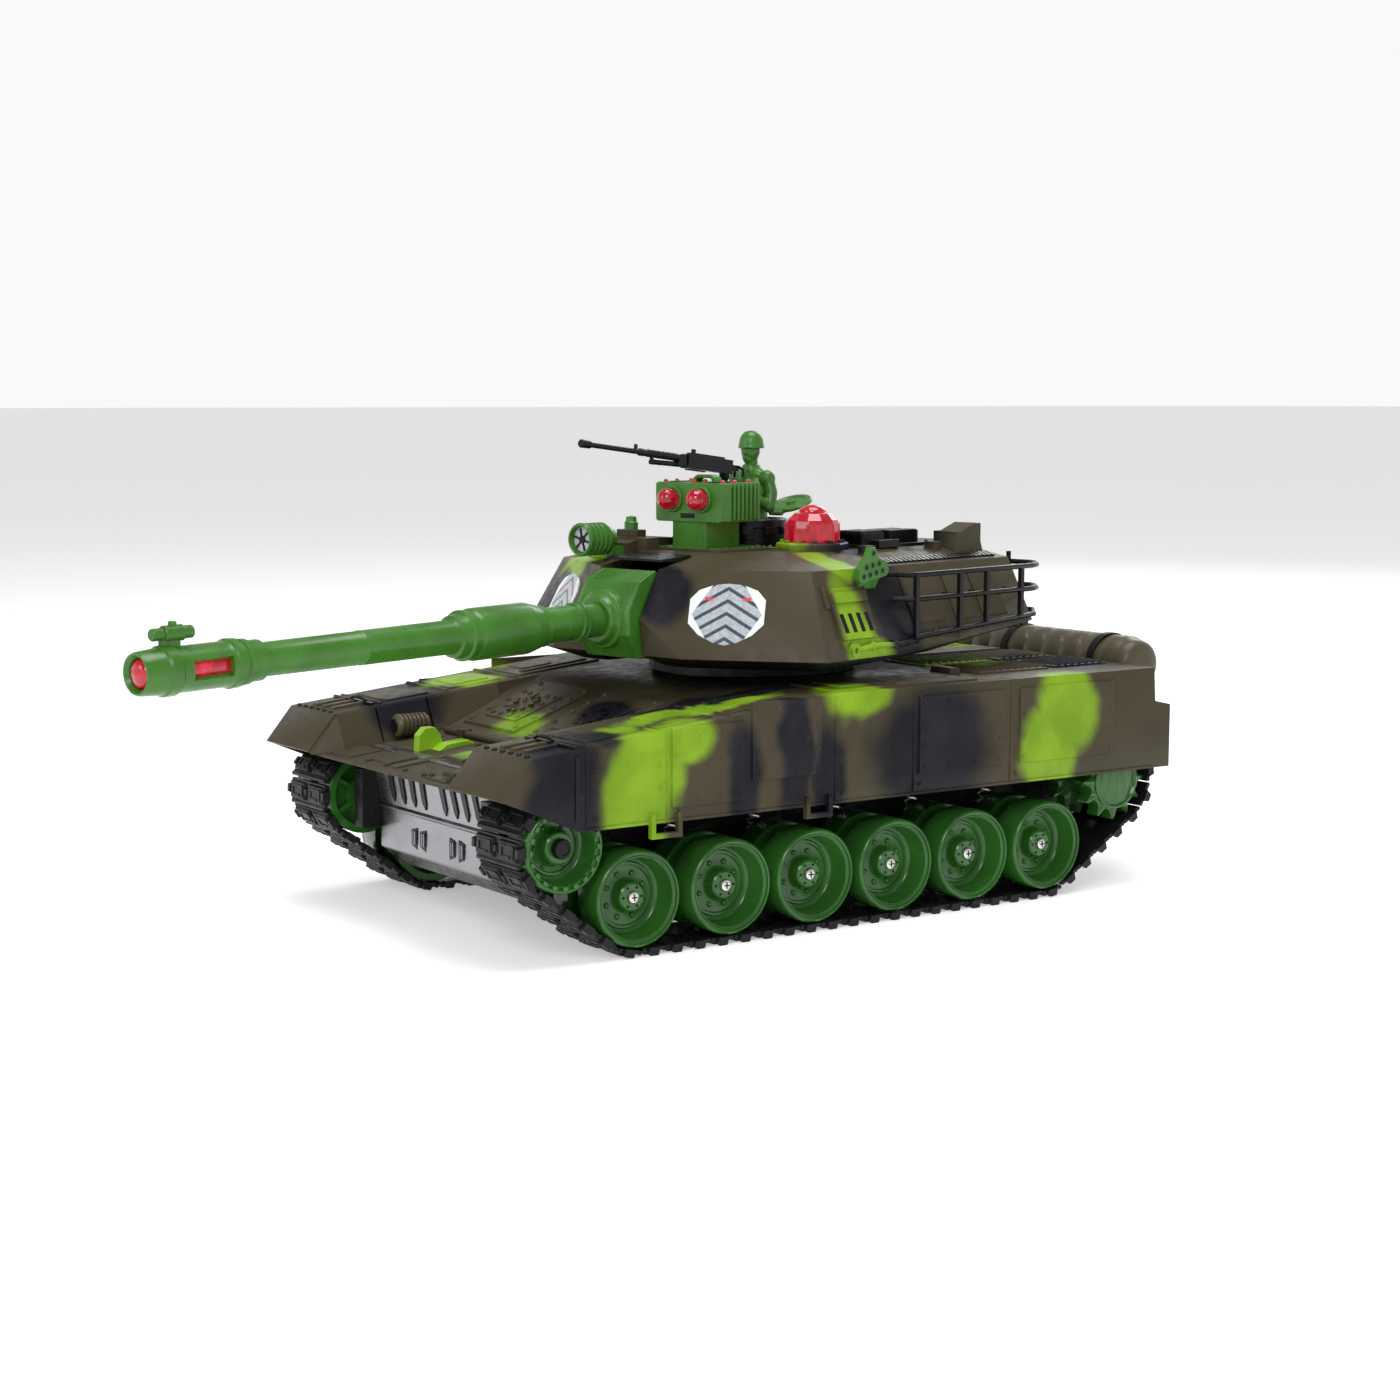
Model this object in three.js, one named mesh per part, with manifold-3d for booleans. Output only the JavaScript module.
// Radio-controlled toy battle tank, as a scene graph of separate named pieces.
// Millimetres, +Z up. The tank faces -Y and its left side is +X. Z = 0 is the ground under the tracks.
import * as THREE from "three";
import { ConvexGeometry } from "three/addons/geometries/ConvexGeometry.js";
import { mergeVertices } from "three/addons/utils/BufferGeometryUtils.js";
import Module from "manifold-3d";

const wasm = await Module();
wasm.setup();

// ---------------------------------------------------------------- driving dimensions
const gap = 0.3; // between pieces that touch
const runningGap = 0.6; // between pieces that turn past each other
const wall = 2; // moulded walls

// running gear
const wheelRadius = 19;
const trackThickness = 3.4;
const trackInnerX = 63.4;
const trackOuterX = 98.4;
const wheelOuterX = 97.9;
const wheelInnerX = 65.5;
const grooveFromX = 77; // gap between the two tyres of a wheel
const grooveToX = 83.5;
const frontWheelY = -91;
const frontWheelGap = 43;
const wheelPitch = 41.08;
const wheelsPerSide = 6;
const idlerRadius = 17;
const idlerAt = { y: -123.8, z: 45 };
const sprocketRadius = 17.3;
const sprocketTeeth = 12;
const sprocketAt = { y: 157, z: 47 };
const axleRadius = 2.2;
const armReach = 17; // from an arm's pivot back to its wheel
const armPivotRise = 7.3;
const armThickness = 4;
const pivotRadius = 2;

// hull
const tubHalfWidth = 57;
const tubFloorZ = 16;
const tubFrontY = -121;
const tubRearY = 177;
const flangeZ = 70.2; // top of the flange that carries the upper hull
const flangeThickness = 1.6;
const hullHalfWidth = 100.9;
const skirtWall = 1.8;
const skirtBottomZ = 51.65;
const skirtFrontY = -119;
const lip = { y: -152.7, z: 65.9 }; // front lower edge of the upper hull
const fenderTop = { y: -140.6, z: 80.5 };
const deckZ = 95.7;
const deckFrontY = 0; // where the rising fender tops reach the flat deck
const deckRearY = 174;
const ledgeZ = 80; // ledge under the rear drum
const hullRearY = 184;
const stepOuterX = 103;
const glacisHalfWidth = 60;
const glacisDrop = 1.5; // from the fenders' front edge down to the glacis plate
const glacisBreak = { y: -95, z: 71 }; // where the plate turns steeper
const drumRadius = 12.5;
const drumHalfLength = 80;
const noseHalfWidth = 50;

// turret
const ringY = 31; // turret axis
const neckRadius = 39.5;
const ringRadius = neckRadius + 5; // collar that rests on the deck
const spigotRadius = 41.5; // of the turret base, inside the shell
const spigotGap = 0.5;
const turretYaw = THREE.MathUtils.degToRad(13.2); // rest pose, muzzle turned to the left
const turretFloorZ = 103;
const roofEdgeZ = 142.5;
const roofZ = 148;
const turretTopHalfWidth = 70.7;
const turretLowHalfWidth = 88;
const bustleRearY = 90;
const mantletHalfWidth = 15.4;
const mantletGap = 0.8; // on each side, in the opening in the shell
const slotHalfWidth = mantletHalfWidth + mantletGap;
const slotRearY = -58;
const rackX = 86.6;
const rackRearY = 103;
const rackBar = 1.8;

// gun
const trunnion = { y: -70, z: 122.9, radius: 2.5 };
const gunDroop = THREE.MathUtils.degToRad(1.15); // rest pose, muzzle a little low
const barrelFrom = 27;
const barrelTo = 197;
const muzzleTo = 249;
const barrelRadius = 6.3;
const evacuatorRadius = 10.25;
const muzzleRadius = 8.2;

// roof fittings
const lampBox = { halfWidth: 18.6, front: -41, rear: -16, bottom: 160, top: 176.5 };
const lensX = 8.2; // red domes of the lamp box, either side of its middle
const lensZ = 169.5;
const lensRadius = 4.3;
const cupola = { x: -4, y: 4, radius: 15.5, top: 160 };
const beacon = { x: 34, y: 0, baseTop: 151, baseRadius: 15, radius: 11.5, top: 167 };
const searchlight = { x: -28, front: -77.5, rear: -58, z: 152.9, radius: 7 };

// ---------------------------------------------------------------- materials
function plastic(color, roughness = 0.45, metalness = 0) {
  return new THREE.MeshStandardMaterial({ color, roughness, metalness });
}
const material = {
  camouflage: plastic(0x4f4a35, 0.6),
  black: plastic(0x1b1c1e, 0.5),
  rubber: plastic(0x1a1a1b, 0.8),
  green: plastic(0x3b7a2e, 0.3),
  silver: plastic(0xb9bbbd, 0.25, 0.9),
  redLens: plastic(0xc4122f, 0.1),
  board: plastic(0x1f5a34, 0.5),
  battery: plastic(0x2c5fa8, 0.4),
};

// ---------------------------------------------------------------- solids
// A three.js geometry as a solid: only positions are kept, and zero-area triangles are left out.
function solid(geometry) {
  const bare = geometry.index ? geometry.toNonIndexed() : geometry.clone();
  bare.deleteAttribute("normal");
  bare.deleteAttribute("uv");
  const merged = mergeVertices(bare, 1e-4);
  const triangles = [];
  const index = merged.index.array;
  for (let i = 0; i < index.length; i += 3) {
    const [a, b, c] = [index[i], index[i + 1], index[i + 2]];
    if (a !== b && b !== c && c !== a) triangles.push(a, b, c);
  }
  const vertProperties = new Float32Array(merged.attributes.position.array);
  const triVerts = new Uint32Array(triangles);
  return new wasm.Manifold(new wasm.Mesh({ numProp: 3, vertProperties, triVerts }));
}

function join(...solids) {
  return solids.reduce((whole, piece) => whole.add(piece));
}

function cut(body, ...tools) {
  return tools.reduce((left, tool) => left.subtract(tool), body);
}

function sorted(a, b) {
  return a < b ? [a, b] : [b, a];
}

function box(xEnds, yEnds, zEnds) {
  const [x0, x1] = sorted(...xEnds);
  const [y0, y1] = sorted(...yEnds);
  const [z0, z1] = sorted(...zEnds);
  const geometry = new THREE.BoxGeometry(x1 - x0, y1 - y0, z1 - z0);
  return solid(geometry.translate((x0 + x1) / 2, (y0 + y1) / 2, (z0 + z1) / 2));
}

function mirroredBoxes(xEnds, yEnds, zEnds) {
  return join(box(xEnds, yEnds, zEnds), box([-xEnds[0], -xEnds[1]], yEnds, zEnds));
}

function hull(points) {
  return solid(new ConvexGeometry(points.map(([x, y, z]) => new THREE.Vector3(x, y, z))));
}

function mirrored(points) {
  return points.flatMap(([x, y, z]) => [[x, y, z], [-x, y, z]]);
}

// A profile of [radius, height] turned about Z. It closes on itself, whichever way it is listed.
function turned(profile, segments = 18) {
  const points = profile.map(([r, h]) => new THREE.Vector2(r, h));
  if (THREE.ShapeUtils.area(points) < 0) points.reverse();
  points.push(points[0].clone());
  return new THREE.LatheGeometry(points, segments).rotateX(Math.PI / 2);
}

// Turned about an axis along X, Y or Z through a point: heights become coordinates on that axis.
function turnedZ(profile, x, y, segments) {
  return solid(turned(profile, segments).translate(x, y, 0));
}
function turnedX(profile, y, z, segments) {
  return solid(turned(profile, segments).rotateY(Math.PI / 2).translate(0, y, z));
}
function turnedY(profile, x, z, segments) {
  return solid(turned(profile, segments).rotateX(-Math.PI / 2).translate(x, 0, z));
}

function rod(radius, from, to) {
  return [[0, from], [radius, from], [radius, to], [0, to]];
}

// An outline of [y, z] points drawn out along X, with optional holes.
function prismX(outline, xEnds, holes = []) {
  const [x0, x1] = sorted(...xEnds);
  const shape = new THREE.Shape(outline.map(([y, z]) => new THREE.Vector2(y, z)));
  for (const hole of holes) {
    shape.holes.push(new THREE.Path(hole.map(([y, z]) => new THREE.Vector2(y, z))));
  }
  const geometry = new THREE.ExtrudeGeometry(shape, { depth: x1 - x0, bevelEnabled: false });
  const turn = new THREE.Matrix4().makeBasis(
    new THREE.Vector3(0, 1, 0),
    new THREE.Vector3(0, 0, 1),
    new THREE.Vector3(1, 0, 0),
  );
  return solid(geometry.applyMatrix4(turn).translate(x0, 0, 0));
}

// A straight square bar between two points.
function bar(from, to, width = rackBar) {
  const start = new THREE.Vector3(...from);
  const end = new THREE.Vector3(...to);
  const middle = start.clone().add(end).multiplyScalar(0.5);
  const geometry = new THREE.BoxGeometry(width, width, start.distanceTo(end) + width);
  const direction = end.clone().sub(start).normalize();
  const turn = new THREE.Quaternion().setFromUnitVectors(new THREE.Vector3(0, 0, 1), direction);
  return solid(geometry.applyQuaternion(turn).translate(middle.x, middle.y, middle.z));
}

function piece(name, body, look) {
  const { vertProperties, triVerts, numProp } = body.getMesh();
  const positions = [];
  for (let i = 0; i < vertProperties.length; i += numProp) {
    positions.push(vertProperties[i], vertProperties[i + 1], vertProperties[i + 2]);
  }
  const geometry = new THREE.BufferGeometry();
  geometry.setAttribute("position", new THREE.Float32BufferAttribute(positions, 3));
  geometry.setIndex([...triVerts]);
  const mesh = new THREE.Mesh(geometry, look);
  mesh.name = name;
  return mesh;
}

// ---------------------------------------------------------------- derived places
const wheelZ = wheelRadius + gap + trackThickness;
const wheelsY = Array.from({ length: wheelsPerSide }, (_, i) =>
  i === 0 ? frontWheelY : frontWheelY + frontWheelGap + (i - 1) * wheelPitch,
);
const armPivotZ = wheelZ + armPivotRise;
const deckRise = (deckZ - fenderTop.z) / (deckFrontY - fenderTop.y);
const glacisEndY = -40;
const glacisEndZ = fenderTop.z + deckRise * (glacisEndY - fenderTop.y);
const sides = [
  { s: 1, side: "left" },
  { s: -1, side: "right" },
];

// ---------------------------------------------------------------- running gear
// Closed belt outline round circles that are listed anticlockwise, each with its own radius.
function beltOutline(circles) {
  const count = circles.length;
  const normals = circles.map((from, i) => {
    const to = circles[(i + 1) % count];
    const heading = Math.atan2(to.z - from.z, to.y - from.y);
    const span = Math.hypot(to.z - from.z, to.y - from.y);
    return heading - Math.acos((from.r - to.r) / span);
  });
  return circles.flatMap(({ y, z, r }, i) => {
    const start = normals[(i + count - 1) % count];
    let sweep = normals[i] - start;
    while (sweep < 0) sweep += 2 * Math.PI;
    const steps = Math.max(2, Math.ceil(sweep / THREE.MathUtils.degToRad(14)));
    return Array.from({ length: steps + 1 }, (_, k) => {
      const angle = start + (sweep * k) / steps;
      return [y + r * Math.cos(angle), z + r * Math.sin(angle)];
    });
  });
}

function track(s) {
  const route = (offset) =>
    beltOutline([
      { ...idlerAt, r: idlerRadius + gap + offset },
      { y: wheelsY[0], z: wheelZ, r: wheelRadius + gap + offset },
      { y: wheelsY[wheelsPerSide - 1], z: wheelZ, r: wheelRadius + gap + offset },
      { ...sprocketAt, r: sprocketRadius + gap + offset },
    ]);
  return prismX(route(trackThickness), [s * trackInnerX, s * trackOuterX], [route(0)]);
}

// A pair of tyres on one hub, with a deep dish on the outer face and a bore for its axle.
function wheelProfile(s, radius, grooveDepth, dishDepth, hubReach) {
  const bore = axleRadius + gap;
  return [
    [bore, wheelInnerX],
    [radius, wheelInnerX],
    [radius, grooveFromX],
    [radius - grooveDepth, grooveFromX],
    [radius - grooveDepth, grooveToX],
    [radius, grooveToX],
    [radius, wheelOuterX],
    [radius - 2.6, wheelOuterX - dishDepth],
    [6.5, wheelOuterX - dishDepth],
    [6.5, wheelOuterX - hubReach],
    [bore, wheelOuterX - hubReach],
  ].map(([r, x]) => [r, s * x]);
}

const hubSetback = 5; // how far a hub's face sits inside the rim
const wheelSides = 14;
const pinSides = 8;

function roadWheel(s, y) {
  return turnedX(wheelProfile(s, wheelRadius, 4, 10.4, hubSetback), y, wheelZ, wheelSides);
}

function suspensionArm(s, y) {
  const from = tubHalfWidth + 1.5;
  const to = from + armThickness;
  const eye = (cy, cz, radius) =>
    Array.from({ length: pinSides }, (_, k) => [
      cy + radius * Math.cos((2 * k * Math.PI) / pinSides),
      cz + radius * Math.sin((2 * k * Math.PI) / pinSides),
    ]);
  const ends = [...eye(y - armReach, armPivotZ, 4.5), ...eye(y, wheelZ, 4)];
  const link = hull(ends.flatMap(([py, pz]) => [[s * from, py, pz], [s * to, py, pz]]));
  const axle = rod(axleRadius, s * (to - 1), s * (wheelOuterX - hubSetback - gap));
  const pin = rod(pivotRadius, s * (tubHalfWidth - wall - 1.5), s * (from + 1));
  return join(link, turnedX(axle, y, wheelZ, pinSides), turnedX(pin, y - armReach, armPivotZ, pinSides));
}

function idler(s) {
  return turnedX(wheelProfile(s, idlerRadius, 4, 9, 4), idlerAt.y, idlerAt.z, wheelSides);
}

function sprocket(s) {
  const tooth = (2 * Math.PI) / sprocketTeeth;
  const outline = Array.from({ length: sprocketTeeth }, (_, k) =>
    [[-0.32, 13.5], [0, sprocketRadius], [0.32, 13.5]].map(([turn, r]) => {
      const angle = tooth * (k + turn);
      return [sprocketAt.y + r * Math.cos(angle), sprocketAt.z + r * Math.sin(angle)];
    }),
  ).flat();
  const inner = prismX(outline, [s * (wheelInnerX + 1), s * (grooveFromX - 2)]);
  const outer = prismX(outline, [s * (grooveToX + 3), s * (wheelOuterX - 2)]);
  const hub = turnedX(rod(9, s * (wheelInnerX + 2), s * (wheelOuterX - 1)), sprocketAt.y, sprocketAt.z, 12);
  const shaft = turnedX(rod(3, s * 49, s * (wheelInnerX + 3)), sprocketAt.y, sprocketAt.z, pinSides);
  const dish = turnedX(
    [[6, s * (wheelOuterX - 4)], [12, s * (wheelOuterX - 4)], [12, s * wheelOuterX], [6, s * wheelOuterX]],
    sprocketAt.y,
    sprocketAt.z,
    12,
  );
  return join(cut(outer, dish), inner, hub, shaft);
}

// ---------------------------------------------------------------- hull
const batteryDoor = { halfWidth: 22, from: 20, to: 85 };
const powerKnob = { x: 36, y: 48, half: 2, travel: 4 }; // at rest the knob is at the off end of its slot
const boardPosts = [-32, 32].flatMap((x) => [-34, 4].map((y) => [x, y]));
const boardZ = 50;

function lowerHull() {
  const outline = (inset, topZ) => [
    [tubFrontY + inset, topZ],
    [tubFrontY + inset, tubFloorZ + 8 + inset * 0.4],
    [tubFrontY + 9 + inset * 0.4, tubFloorZ + inset],
    [tubRearY - 12 - inset * 0.4, tubFloorZ + inset],
    [tubRearY - inset, tubFloorZ + 14 + inset * 0.4],
    [tubRearY - inset, topZ],
  ];
  const inside = tubHalfWidth - wall;
  const shell = cut(
    prismX(outline(0, flangeZ), [-tubHalfWidth, tubHalfWidth]),
    prismX(outline(wall, flangeZ + 1), [-inside, inside]),
  );
  const flangeEnds = [tubFrontY + 8, hullRearY - wall - 1];
  const flangeSpan = [inside, hullHalfWidth - skirtWall - 0.5];
  const flange = mirroredBoxes(flangeSpan, flangeEnds, [flangeZ - flangeThickness, flangeZ]);
  const cheek = mirroredBoxes([noseHalfWidth + gap, tubHalfWidth], [idlerAt.y - 9, tubFrontY + 1], [33, 58]);
  const axles = sides.map(({ s }) =>
    turnedX(rod(axleRadius, s * (tubHalfWidth - 1), s * (wheelOuterX - 4 - gap)), idlerAt.y, idlerAt.z, pinSides),
  );
  const posts = boardPosts.map(([x, y]) => turnedZ(rod(2.2, tubFloorZ + 1, boardZ - gap), x, y, 6));
  const span = [-tubHalfWidth - 1, tubHalfWidth + 1];
  const pinHoles = wheelsY.map((y) =>
    turnedX(rod(pivotRadius + gap, ...span), y - armReach, armPivotZ, pinSides),
  );
  const shaftHole = turnedX(rod(3 + gap, ...span), sprocketAt.y, sprocketAt.z, pinSides);
  const doorway = box(
    [-batteryDoor.halfWidth, batteryDoor.halfWidth],
    [batteryDoor.from, batteryDoor.to],
    [tubFloorZ - 1, tubFloorZ + wall + 1],
  );
  const switchSlot = box(
    [powerKnob.x - powerKnob.half - runningGap, powerKnob.x + powerKnob.half + runningGap],
    [powerKnob.y - powerKnob.half - gap, powerKnob.y + powerKnob.half + powerKnob.travel + gap],
    [tubFloorZ - 1, tubFloorZ + wall + 1],
  );
  const underGlacis = aboveGlacis(wall + gap, glacisHalfWidth + wall + gap);
  const openings = [...pinHoles, shaftHole, doorway, switchSlot];
  return cut(join(shell, flange, cheek, ...axles, ...posts), underGlacis, ...openings);
}

// Outer side view of the upper hull, drawn in by an inset for the cavity.
function upperOutline(inset) {
  const down = inset > 0 ? 30 : 0; // the cavity runs out through the open underside
  return [
    [lip.y + inset * 1.3, lip.z + inset * 0.2],
    [fenderTop.y + inset * 0.9, fenderTop.z - inset],
    [deckFrontY, deckZ - inset],
    [deckRearY - inset, deckZ - inset],
    [deckRearY + 1 - inset, ledgeZ + 1 - inset],
    [hullRearY - inset, ledgeZ - 1 - inset],
    [hullRearY - inset, skirtBottomZ - down],
    [skirtFrontY, skirtBottomZ - down],
    ...(inset > 0 ? [[lip.y + inset * 1.3, skirtBottomZ - down]] : []),
  ];
}

// Space over the glacis plate, lowered by a depth for the plate's own thickness.
function aboveGlacis(depth, halfWidth) {
  const outline = [
    [lip.y - 5, lip.z - depth - glacisDrop],
    [lip.y, lip.z - depth - glacisDrop],
    [glacisBreak.y, glacisBreak.z - depth],
    [glacisEndY, glacisEndZ - depth],
    [glacisEndY, deckZ + 20],
    [lip.y - 5, deckZ + 20],
  ];
  return prismX(outline, [-halfWidth, halfWidth]);
}

function upperHull() {
  const inside = hullHalfWidth - skirtWall;
  const outer = cut(
    prismX(upperOutline(0), [-hullHalfWidth, hullHalfWidth]),
    aboveGlacis(0, glacisHalfWidth),
  );
  const cavity = cut(
    prismX(upperOutline(wall), [-inside, inside]),
    aboveGlacis(wall, glacisHalfWidth + wall),
  );
  const ring = turnedZ(rod(neckRadius + runningGap, deckZ - 10, deckZ + 5), 0, ringY, 24);
  const bossPlaces = [-60, 20, 95, 165].flatMap((y) => [-76, 76].map((x) => [x, y]));
  const bosses = bossPlaces.map(([x, y]) => {
    const top = Math.min(deckZ, fenderTop.z + deckRise * (y - fenderTop.y)) - 1;
    return turnedZ(rod(3, flangeZ + gap, top), x, y, 8);
  });
  const steps = [stepBracket(-88.6, -74.5, 46), stepBracket(-15.7, -2.7, 47)];
  return join(cut(outer, cavity, ring), ...bosses, ...steps.flat());
}

// A U-shaped step that hangs from the lower edge of each skirt.
function stepBracket(from, to, bottom) {
  const span = [hullHalfWidth - 0.6, stepOuterX];
  const thickness = 2;
  return [
    mirroredBoxes(span, [from, from + thickness], [bottom, skirtBottomZ + 4]),
    mirroredBoxes(span, [to - thickness, to], [bottom, skirtBottomZ + 4]),
    mirroredBoxes(span, [from, to], [bottom, bottom + thickness]),
  ];
}

function nosePlate() {
  const back = tubFrontY - gap;
  const outline = [[-129, 68], [back - 2.6, 41.5], [back - 3, 24], [back, 24], [back, 68]];
  const plate = prismX(outline, [-noseHalfWidth, noseHalfWidth]);
  const slots = [-1, 1].flatMap((s) =>
    [6, 15, 24, 33].map((x) => box([s * x, s * (x + 3.2)], [-135, -126.6], [46, 62])),
  );
  return cut(plate, aboveGlacis(wall + gap, glacisHalfWidth), ...slots);
}

const drumAt = { y: hullRearY + 4, z: ledgeZ + 1.4 + drumRadius };

function rearDrum() {
  const end = drumHalfLength;
  const profile = [
    [0, -end],
    [drumRadius - 4, -end + 1],
    [drumRadius - 0.8, -end + 5],
    [drumRadius - 0.8, -end + 12],
    [drumRadius, -end + 14],
    [drumRadius, end - 14],
    [drumRadius - 0.8, end - 12],
    [drumRadius - 0.8, end - 5],
    [drumRadius - 4, end - 1],
    [0, end],
  ];
  const drum = turnedX(profile, drumAt.y, drumAt.z, 24);
  const saddle = mirroredBoxes([36, 46], [deckRearY + 3, hullRearY + 2], [ledgeZ + 1 + gap, drumAt.z - 4]);
  return join(drum, saddle);
}

function batteryPack() {
  const floor = tubFloorZ + wall + gap;
  const low = box([-15, 15], [batteryDoor.from + 4, batteryDoor.to - 4], [floor, floor + 14]);
  const high = box([-14.4, 14.4], [batteryDoor.from + 4.5, batteryDoor.to - 4.5], [floor + 13, floor + 28]);
  return join(low, high);
}

function batteryCover() {
  return box(
    [-batteryDoor.halfWidth + gap, batteryDoor.halfWidth - gap],
    [batteryDoor.from + gap, batteryDoor.to - gap],
    [tubFloorZ, tubFloorZ + wall - 0.2],
  );
}

function powerSwitch() {
  const { x, y, half } = powerKnob;
  const slider = box([x - 5, x + 5], [y - 4, y + 4], [tubFloorZ + wall + gap, tubFloorZ + wall + 3]);
  const knob = box([x - half, x + half], [y - half, y + half], [tubFloorZ - 1, tubFloorZ + wall + 1]);
  return join(slider, knob);
}

function circuitBoard() {
  const board = box([-38, 38], [-40, 10], [boardZ, boardZ + 1.6]);
  const chips = [[-20, -28, 14, 8], [8, -24, 10, 10], [20, -4, 16, 7], [-26, -6, 9, 12]].map(([x, y, w, d]) =>
    box([x, x + w], [y, y + d], [boardZ + 1, boardZ + 5]),
  );
  return join(board, ...chips);
}

function speaker() {
  const floor = tubFloorZ + wall + gap;
  const profile = [[0, floor], [20, floor], [20, floor + 3], [11, floor + 9], [11, floor + 14], [0, floor + 14]];
  return turnedZ(profile, 0, -75, 20);
}

function driveGearbox(s) {
  const casing = box([s * 6, s * (tubHalfWidth - wall - 0.5)], [122, 171], [tubFloorZ + 12, 62]);
  const motor = turnedY(rod(10, 92, 123), s * 30, 40, 14);
  const shaftHole = turnedX(rod(3 + gap, s * 48, s * 60), sprocketAt.y, sprocketAt.z, pinSides);
  return cut(join(casing, motor), shaftHole);
}

// ---------------------------------------------------------------- turret, about its own axis
// Corners of the turret body, drawn in by an inset for the hollow inside.
function turretCorners(inset) {
  const low = turretLowHalfWidth - inset;
  const top = turretTopHalfWidth - inset;
  return mirrored([
    [15.2 - inset * 0.3, -76.8 + inset, roofEdgeZ - inset],
    [top, -44.5 + inset, roofEdgeZ - inset],
    [top, bustleRearY - inset, roofEdgeZ - inset],
    [12 - inset * 0.3, -50 + inset, roofZ - inset],
    [48 - inset, -28 + inset, roofZ - inset],
    [50 - inset, bustleRearY - 8 - inset, roofZ - inset],
    [16.6 - inset * 0.3, -87.3 + inset * 1.4, 122.9],
    [37 - inset * 0.5, -85.3 + inset * 1.4, 108 + inset * 0.5],
    [low, -55 + inset, 107.5 + inset * 0.5],
    [low, -20, 106 + inset * 0.5],
    [low - 3.5, bustleRearY - inset, 115.4 + inset * 0.5],
    [30 - inset * 0.5, -72 + inset, turretFloorZ + inset],
    [78 - inset, -48 + inset, turretFloorZ + inset],
    [60 - inset, 46, turretFloorZ + inset],
    [80 - inset, bustleRearY - inset, 114.5 + inset],
  ]);
}

function sideWallX(z) {
  const lean = (turretLowHalfWidth - turretTopHalfWidth) / (roofEdgeZ - 107.5);
  return turretLowHalfWidth - lean * (z - 107.5);
}

function turretShell() {
  const outer = hull(turretCorners(0));
  const ribSpan = [slotHalfWidth, slotHalfWidth + wall];
  const ribs = mirroredBoxes(ribSpan, [-90, slotRearY], [turretFloorZ, roofZ]).intersect(outer);
  const hollow = cut(outer, hull(turretCorners(wall)));
  const slot = box([-slotHalfWidth, slotHalfWidth], [-100, slotRearY], [turretFloorZ - 5, roofZ + 5]);
  const pinHole = turnedX(rod(trunnion.radius + gap, -30, 30), trunnion.y, trunnion.z, 12);
  const ringHole = turnedZ(rod(spigotRadius + spigotGap, turretFloorZ - 5, turretFloorZ + 8), 0, 0, 24);
  const beaconBase = turnedZ(rod(beacon.baseRadius, roofEdgeZ, beacon.baseTop), beacon.x, beacon.y, 8);
  const roofBoxes = [
    box([-40, -14], [-51, -44], [roofEdgeZ + 2, 153]),
    box([28, 44], [22, 36], [roofZ - 1, 154]),
    box([28, 44], [40, 60], [roofZ - 1, 154.5]),
    box([48, 60], [66, 82], [roofEdgeZ, 154]),
    box([-50, -18], [34, 78], [roofZ - 1, 150.5]),
  ];
  return join(cut(join(hollow, ribs), slot, pinHole, ringHole), beaconBase, ...roofBoxes);
}

function turretBase() {
  const profile = [
    [12, deckZ - 8],
    [neckRadius, deckZ - 8],
    [neckRadius, deckZ + gap],
    [ringRadius, deckZ + gap],
    [ringRadius, turretFloorZ - gap],
    [spigotRadius, turretFloorZ - gap],
    [spigotRadius, turretFloorZ + 4],
    [12, turretFloorZ + 4],
  ];
  return turnedZ(profile, 0, 0, 24);
}

// One side of the rear stowage rack, as runs of bars from point to point.
function rackSide(s) {
  const corner = bustleRearY - 2;
  const bottomZ = (y) => 113.6 + (4.9 * y) / bustleRearY;
  const bars = [];
  const run = (...points) => {
    for (let i = 1; i < points.length; i += 1) bars.push(bar(points[i - 1], points[i]));
  };
  for (const z of [139.5, 129.5]) {
    run(
      [s * (sideWallX(z) + 1.6), -1, z],
      [s * rackX, 4, z],
      [s * rackX, corner, z],
      [s * (rackX - 12), rackRearY, z],
      [0, rackRearY, z],
    );
  }
  run([s * rackX, 4, bottomZ(4)], [s * rackX, corner, bottomZ(corner)]);
  for (const y of [4, 34, 53, 78]) run([s * rackX, y, bottomZ(y)], [s * rackX, y, 139.5]);
  run([s * 62, rackRearY, 118.6], [s * 62, rackRearY, 139.5]);
  run([s * rackX, corner, bottomZ(corner)], [s * (rackX - 12), rackRearY, 118.6], [0, rackRearY, 118.6]);
  run([s * 40, rackRearY, 129.5], [s * 40, bustleRearY + 1.4, 129.5]);
  return join(...bars);
}

function lampHousing() {
  const { halfWidth, front, rear, bottom, top } = lampBox;
  const plate = box([-17, 17], [front - 1, rear + 3], [roofZ + gap, roofZ + 1.5]);
  const pedestal = box([-9.4, 9.4], [front + 1, rear - 3], [roofZ + 1, bottom + 0.5]);
  const casing = box([-halfWidth, halfWidth], [front, rear], [bottom, top]);
  const chamber = box([-halfWidth + 1.6, halfWidth - 1.6], [front + 1.6, rear - 1.6], [bottom + 1.6, top - 1.6]);
  const port = (x, from, to) => turnedY(rod(lensRadius + gap, from, to), x, lensZ, 12);
  const frontPorts = [-lensX, lensX].map((x) => port(x, front - 2, front + 4));
  const ports = [...frontPorts, port(lensX, rear - 4, rear + 2)];
  const handle = [
    box([-6, -4.5], [-30, -27], [top - 0.5, top + 3]),
    box([4.5, 6], [-30, -27], [top - 0.5, top + 3]),
    box([-6, 6], [-30, -27], [top + 1.8, top + 3]),
  ];
  return join(cut(join(plate, pedestal, casing), chamber, ...ports), ...handle);
}

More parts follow.
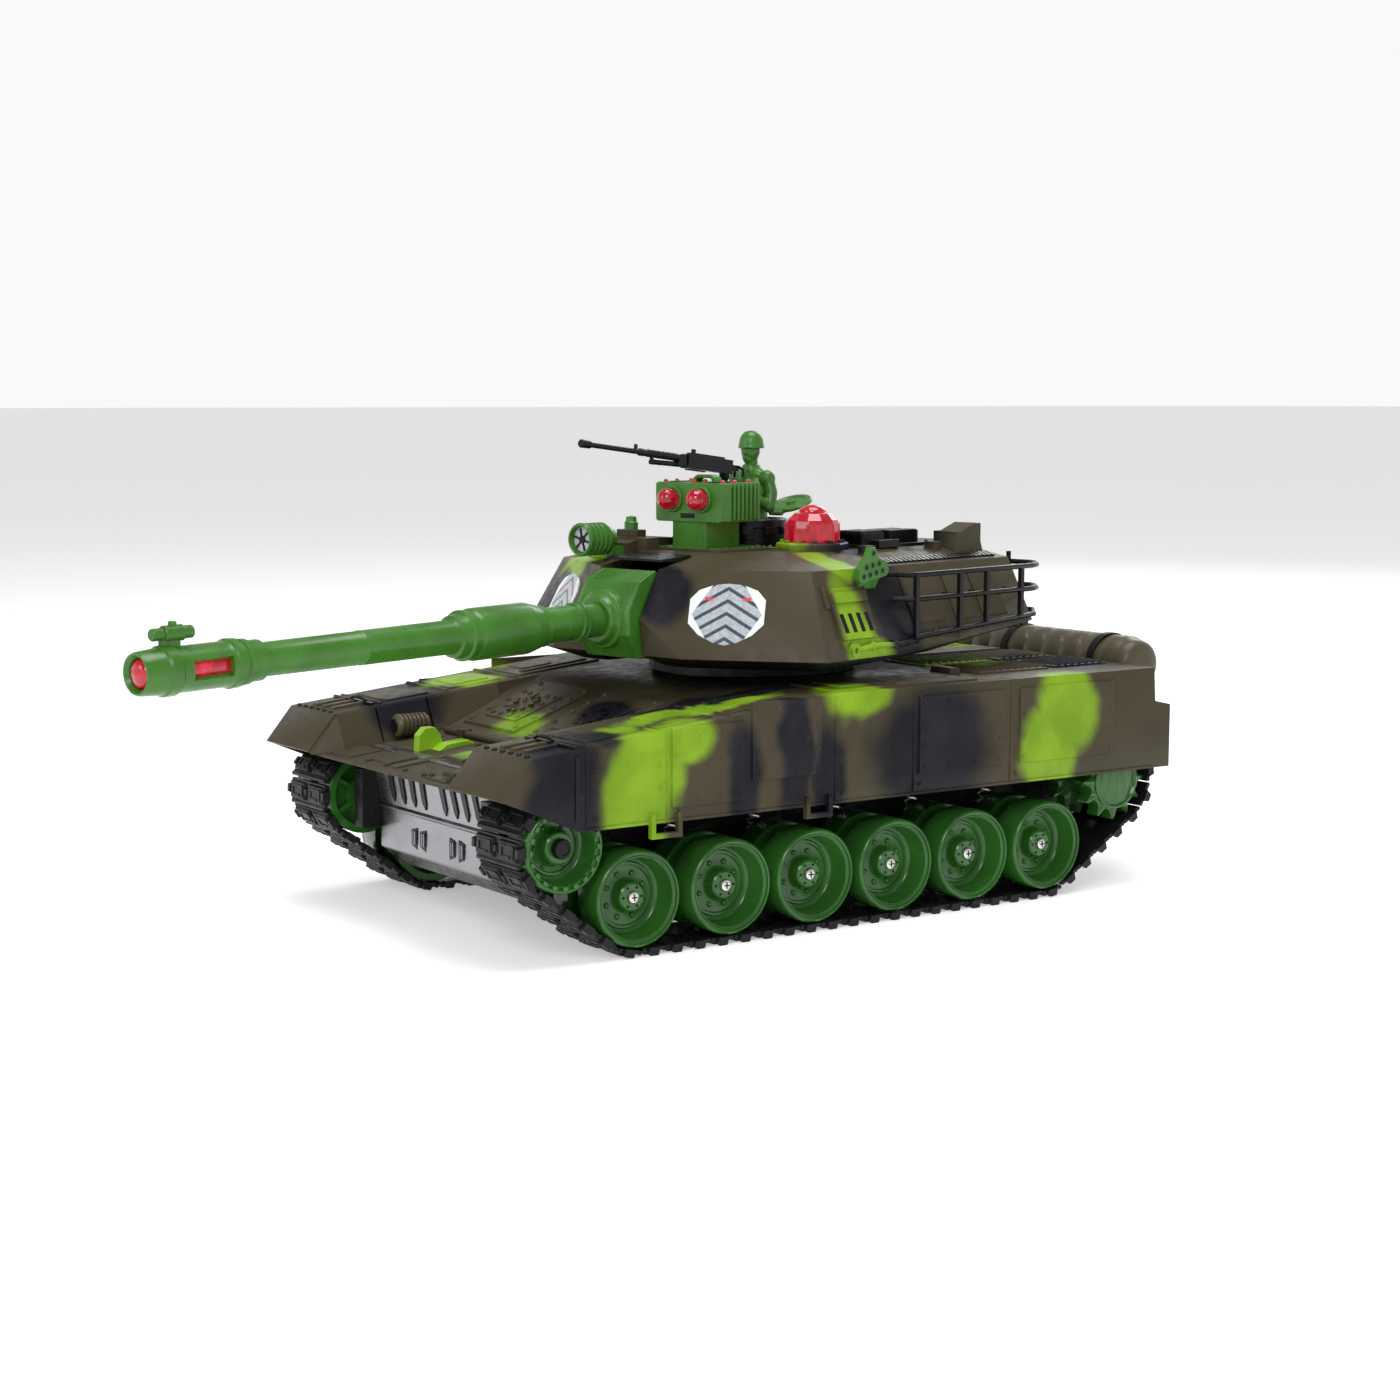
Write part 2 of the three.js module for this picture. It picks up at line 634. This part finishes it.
// One clear red moulding: a dome in each port, joined by a light guide inside the housing.
function lampLens() {
  const { front, rear } = lampBox;
  const dome = (x, from, to) => {
    const out = Math.sign(to - from);
    const profile = [
      [0, from],
      [lensRadius, from],
      [lensRadius, to - out * 3],
      [lensRadius * 0.75, to - out * 1],
      [0, to],
    ];
    return turnedY(profile, x, lensZ, 12);
  };
  const domes = [-lensX, lensX].map((x) => dome(x, front + 3, front - 5));
  const rearDome = dome(lensX, rear - 3, rear + 3);
  const bridge = box([-lensX - 2, lensX + 2], [front + 2.5, front + 5], [lensZ - 2, lensZ + 2]);
  const guide = box([lensX - 2, lensX + 2], [front + 3, rear - 2.5], [lensZ - 2, lensZ + 2]);
  return join(...domes, rearDome, bridge, guide);
}

function beaconDome() {
  const { x, y, radius, baseTop, top } = beacon;
  const from = baseTop + gap;
  const profile = [
    [0, from],
    [radius, from],
    [radius, from + 7],
    [radius - 3.5, top - 4.5],
    [radius - 6, top - 3.5],
    [radius - 8.5, top - 0.7],
    [0, top],
  ];
  return turnedZ(profile, x, y, 12);
}

function searchLamp() {
  const { x, front, rear, z, radius } = searchlight;
  const profile = [
    [0, front + 2],
    [radius - 1.5, front + 2],
    [radius - 1.2, front],
    [radius, front],
    [radius, rear - 4],
    [radius - 2.5, rear],
    [0, rear],
  ];
  const base = box([x - 5, x + 5], [-62, -54.5], [146.6, z - 3]);
  return join(turnedY(profile, x, z, 16), base);
}

function cupolaRing() {
  const { x, y, radius, top } = cupola;
  const floor = roofZ + gap;
  const ring = turnedZ(
    [[radius - 3, floor], [radius, floor], [radius, top], [radius - 3, top]],
    x,
    y,
    20,
  );
  const lug = box([x - 3.5, x + 3.5], [y - radius - 4, y - radius + 1.5], [152, 158.3]);
  return join(ring, lug);
}

function hatchLid() {
  const lid = turnedZ(rod(9.5, -0.8, 0.8), 0, 11, 16);
  const ear = box([-3, 3], [0, 4], [-0.8, 0.8]);
  return join(lid, ear);
}

function soldier() {
  const { x, y } = cupola;
  const corner = (w, d, z) => [[x - w, y - d, z], [x + w, y - d, z], [x - w, y + d, z], [x + w, y + d, z]];
  const torso = hull([...corner(7.5, 5, roofZ + gap), ...corner(9, 5.5, 176), ...corner(5, 4, 182)]);
  const arm = (s) =>
    join(
      bar([x + s * 11, y + 1, 177], [x + s * 12, y - 1, 165], 4.6),
      bar([x + s * 12, y - 1, 165], [x + s * 7, y - 9, 170], 4),
      bar([x + s * 7, y, 176], [x + s * 11, y + 1, 176], 4.6),
    );
  const neck = turnedZ(rod(2.6, 180, 186), x, y, 6);
  const head = turnedZ([[0, 183.5], [3, 184.2], [4.3, 187.5], [4.3, 193], [0, 194]], x, y - 0.5, 10);
  const helmet = turnedZ([[0, 190.6], [5.9, 190.6], [5.9, 192.5], [4.6, 196], [0, 197.8]], x, y, 10);
  return join(torso, arm(1), arm(-1), neck, head, helmet);
}

const gunPost = { x: cupola.x, y: cupola.y - cupola.radius - 2.1 };

function machineGun() {
  const { x, y } = gunPost;
  const at = (forward) => 182.5 + forward * 0.115;
  const post = turnedZ(rod(1.4, 158.3 + gap, 181), x, y, 10);
  const receiver = hull([
    ...[-1, 1].flatMap((s) => [[x + s * 2.4, y + 5, at(-5) - 2], [x + s * 2.4, y + 5, at(-5) + 2]]),
    ...[-1, 1].flatMap((s) => [[x + s * 2.4, y - 27, at(27) - 3], [x + s * 2.4, y - 27, at(27) + 3]]),
  ]);
  const barrel = bar([x, y - 26, at(26) + 1], [x, y - 87, at(87) + 1], 2.2);
  const gasTube = bar([x, y - 26, at(26) - 2], [x, y - 46, at(46) - 2.6], 2);
  const link = bar([x, y - 45, at(45) - 2.6], [x, y - 45, at(45) + 1], 1.8);
  return join(post, receiver, barrel, gasTube, link);
}

function smokeLauncher(s) {
  const [low, high] = [135, 149];
  const inner = (z) => sideWallX(z) + 0.8;
  return hull(
    [[low, -18, -5, 5], [high, -24, -7, 8]].flatMap(([z, y0, y1, depth]) =>
      [y0, y1].flatMap((y) => [
        [s * inner(low), y, z],
        [s * (inner(low) + depth), y, z],
      ]),
    ),
  );
}

function turretMotor() {
  const casing = box([-20, 20], [12, 44], [turretFloorZ + 5, turretFloorZ + 24]);
  const motor = turnedZ(rod(9, turretFloorZ + 20, turretFloorZ + 38), 8, 30, 14);
  return join(casing, motor);
}

function elevatingMotor() {
  const casing = box([-12, 12], [-52, -30], [turretFloorZ + 5, turretFloorZ + 26]);
  const motor = turnedY(rod(8, -31, -10), 0, turretFloorZ + 16, 14);
  return join(casing, motor);
}

// ---------------------------------------------------------------- gun, about its trunnion
function mantlet() {
  const outline = [
    [-7, 19.3],
    [-16, 15.2],
    [-22.5, 4],
    [-22.5, -6],
    [-16, -16],
    [-4, -16.5],
    [8, -10],
    [8, 12],
  ];
  const block = prismX(outline, [-mantletHalfWidth, mantletHalfWidth]);
  const boss = turnedY([[0, -15], [12, -15], [12, -23], [8.6, -barrelFrom], [0, -barrelFrom]], 0, 0, 18);
  const pinReach = slotHalfWidth + wall;
  const pin = turnedX(rod(trunnion.radius, -pinReach, pinReach), 0, 0, 12);
  return join(block, boss, pin);
}

function gunBarrel() {
  const profile = [
    [0, barrelFrom + gap],
    [7.1, barrelFrom + gap],
    [7.1, 56],
    [8.2, 57],
    [8.2, 61],
    [evacuatorRadius, 67],
    [evacuatorRadius, 96],
    [barrelRadius + 2, 103],
    [barrelRadius + 0.2, 106],
    [barrelRadius - 0.2, barrelTo],
    [0, barrelTo],
  ].map(([r, forward]) => [r, -forward]);
  return turnedY(profile, 0, 0, 18);
}

const lensBore = 5.6;

function muzzleBrake() {
  const from = barrelTo + gap;
  const profile = [
    [lensBore, from + 5],
    [lensBore, muzzleTo],
    [muzzleRadius - 0.8, muzzleTo],
    [muzzleRadius + 0.8, muzzleTo - 10],
    [muzzleRadius + 0.8, muzzleTo - 14],
    [muzzleRadius, muzzleTo - 15],
    [muzzleRadius, from + 16],
    [muzzleRadius + 0.6, from + 14],
    [muzzleRadius - 0.6, from + 6],
    [muzzleRadius - 0.6, from],
    [0, from],
    [0, from + 5],
  ].map(([r, forward]) => [r, -forward]);
  const window = box([-12, 12], [-(muzzleTo - 19), -(muzzleTo - 36)], [-3.2, 3.2]);
  const foot = box([-1.6, 1.6], [-(muzzleTo - 12), -(muzzleTo - 18)], [muzzleRadius - 1, 11]);
  const sight = turnedY(rod(2.6, -(muzzleTo - 24), -(muzzleTo - 7)), 0, 13, 8);
  return join(cut(turnedY(profile, 0, 0, 14), window), foot, sight);
}

function muzzleLens() {
  const profile = [
    [0, barrelTo + gap + 5 + gap],
    [lensBore - gap, barrelTo + gap + 5 + gap],
    [lensBore - gap, muzzleTo - 1.5],
    [lensBore - 2, muzzleTo - 0.2],
    [0, muzzleTo + 0.4],
  ].map(([r, forward]) => [r, -forward]);
  return turnedY(profile, 0, 0, 16);
}

// ---------------------------------------------------------------- assembly
const tank = new THREE.Group();
tank.add(
  piece("lower_hull", lowerHull(), material.black),
  piece("upper_hull", upperHull(), material.camouflage),
  piece("nose_plate", nosePlate(), material.silver),
  piece("rear_drum", rearDrum(), material.camouflage),
  piece("battery_pack", batteryPack(), material.battery),
  piece("battery_door", batteryCover(), material.black),
  piece("power_switch", powerSwitch(), material.black),
  piece("circuit_board", circuitBoard(), material.board),
  piece("speaker", speaker(), material.black),
);
for (const { s, side } of sides) {
  tank.add(
    piece(`drive_gearbox_${side}`, driveGearbox(s), material.black),
    piece(`track_${side}`, track(s), material.rubber),
    piece(`idler_${side}`, idler(s), material.green),
    piece(`sprocket_${side}`, sprocket(s), material.green),
  );
  wheelsY.forEach((y, i) => {
    tank.add(
      piece(`suspension_arm_${side}_${i + 1}`, suspensionArm(s, y), material.black),
      piece(`road_wheel_${side}_${i + 1}`, roadWheel(s, y), material.green),
    );
  });
}

const turret = new THREE.Group();
turret.position.set(0, ringY, 0);
turret.rotation.z = turretYaw;
turret.add(
  piece("turret_shell", turretShell(), material.camouflage),
  piece("turret_base", turretBase(), material.black),
  piece("turret_rack", join(rackSide(1), rackSide(-1)), material.black),
  piece("turret_motor", turretMotor(), material.black),
  piece("elevating_motor", elevatingMotor(), material.black),
  piece("lamp_box", lampHousing(), material.green),
  piece("lamp_lens", lampLens(), material.redLens),
  piece("beacon_dome", beaconDome(), material.redLens),
  piece("searchlight", searchLamp(), material.green),
  piece("cupola", cupolaRing(), material.black),
  piece("soldier", soldier(), material.green),
  piece("machine_gun", machineGun(), material.black),
  piece("smoke_launcher_left", smokeLauncher(1), material.green),
  piece("smoke_launcher_right", smokeLauncher(-1), material.green),
);
tank.add(turret);

const lid = piece("hatch_lid", hatchLid(), material.green);
lid.position.set(cupola.x, cupola.y + cupola.radius + 1, cupola.top + 1.5);
lid.rotation.x = THREE.MathUtils.degToRad(20);
turret.add(lid);

const gun = new THREE.Group();
gun.position.set(0, trunnion.y, trunnion.z);
gun.rotation.x = gunDroop;
gun.add(
  piece("mantlet", mantlet(), material.green),
  piece("gun_barrel", gunBarrel(), material.green),
  piece("muzzle_brake", muzzleBrake(), material.green),
  piece("muzzle_lens", muzzleLens(), material.redLens),
);
turret.add(gun);

// The origin is on the ground, in the middle of the tank's whole length with its gun.
tank.updateMatrixWorld(true);
const extent = new THREE.Box3().setFromObject(tank, true);
tank.position.y = -(extent.min.y + extent.max.y) / 2;

export default tank;
